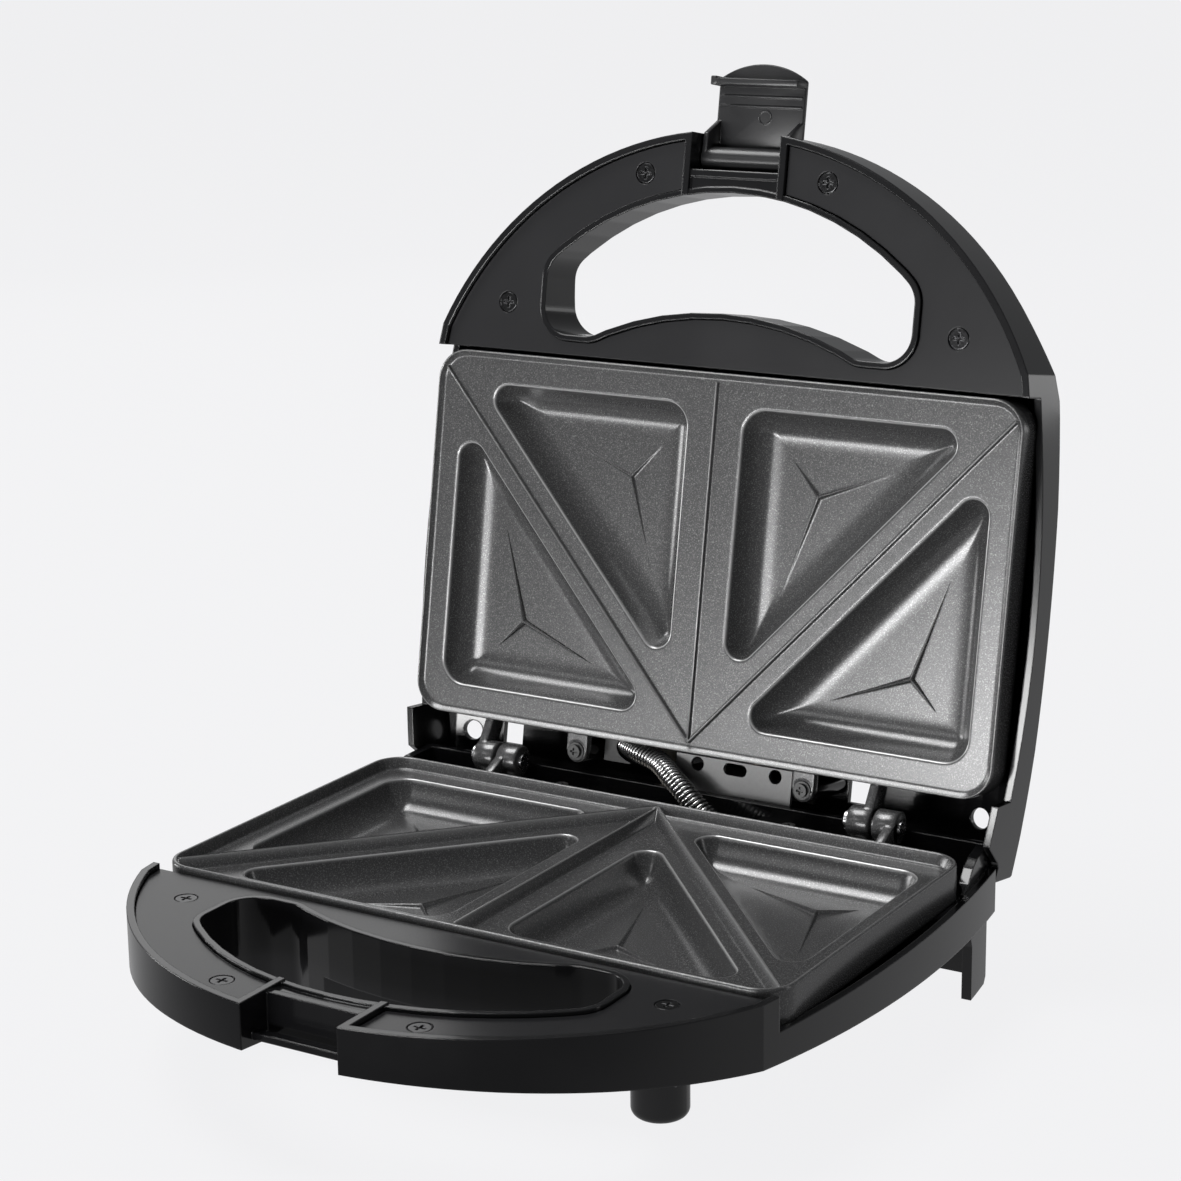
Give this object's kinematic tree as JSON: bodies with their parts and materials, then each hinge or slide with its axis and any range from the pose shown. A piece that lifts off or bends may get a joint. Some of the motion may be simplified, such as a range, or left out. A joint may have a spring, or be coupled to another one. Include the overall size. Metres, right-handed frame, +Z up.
{
  "type": "sandwich toaster",
  "caption": "Tabletop sandwich toaster with two hinged halves, cast plates with triangular pockets, an arched cut-out handle and a folding latch.",
  "frame": {"origin": "centre of the bounding box with the lid open, on the surface it stands on", "axes": "+X to the right seen from the handle side, +Y from the handle to the hinge, +Z up"},
  "size_m": [0.233, 0.2786, 0.2861],
  "materials": {
    "gloss_black_plastic": "high gloss moulded",
    "satin_black_plastic": "satin moulded",
    "nonstick_aluminium": "speckled dark grey non-stick coat on cast aluminium",
    "blackened_steel": "black oxide",
    "bright_steel": "zinc plated",
    "spring_steel": "bright drawn wire",
    "element_sheath": "heat tinted",
    "ceramic": "matt glazed",
    "sheet_aluminium": "mill finish",
    "brass_fitting": "plain",
    "white_insulation": "woven glass sleeve",
    "red_lens": "clear red",
    "green_lens": "clear green",
    "lamp_glass": "clear"
  },
  "bodies": {
    "base": {"base_shell": "gloss_black_plastic", "base_handle_cover": "satin_black_plastic", "base_cover_screws": "blackened_steel", "base_plate": "nonstick_aluminium", "base_plate_screws": "bright_steel", "base_element": "element_sheath", "base_element_terminals": "ceramic", "base_element_clamps": "bright_steel", "base_reflector": "sheet_aluminium", "thermostat": "ceramic", "thermal_fuse": "brass_fitting", "terminal_block": "ceramic", "cord_inlet": "satin_black_plastic", "earth_tag": "brass_fitting", "base_wires": "white_insulation", "base_harness_clamp": "bright_steel", "hinge_pin_left": "bright_steel", "hinge_pin_right": "bright_steel", "harness_sheath": "spring_steel"},
    "lid": {"lid_shell": "gloss_black_plastic", "lid_handle_cover": "satin_black_plastic", "lid_cover_screws": "blackened_steel", "lid_plate": "nonstick_aluminium", "lid_plate_screws": "bright_steel", "lid_element": "element_sheath", "lid_element_terminals": "ceramic", "lid_element_clamps": "bright_steel", "lid_reflector": "sheet_aluminium", "lid_terminal_bracket": "sheet_aluminium", "lid_wires": "white_insulation", "lid_harness_clamp": "bright_steel", "power_lens": "red_lens", "ready_lens": "green_lens", "indicator_lamps": "lamp_glass", "lamp_holder": "satin_black_plastic", "latch_pin": "bright_steel"},
    "latch": {"latch": "satin_black_plastic"}
  },
  "joints": [
    {"name": "lid_hinge", "type": "hinge", "parent": "base", "child": "lid", "pos_m": [0, 0.07921, 0.05], "axis": [1, 0, 0], "range_deg": [0, 100], "deforming": ["harness_sheath"]},
    {"name": "latch_hinge", "type": "hinge", "parent": "lid", "child": "latch", "pos_m": [0, 0.12661, 0.25549], "axis": [1, 0, 0], "range_deg": [0, 90]}
  ]
}
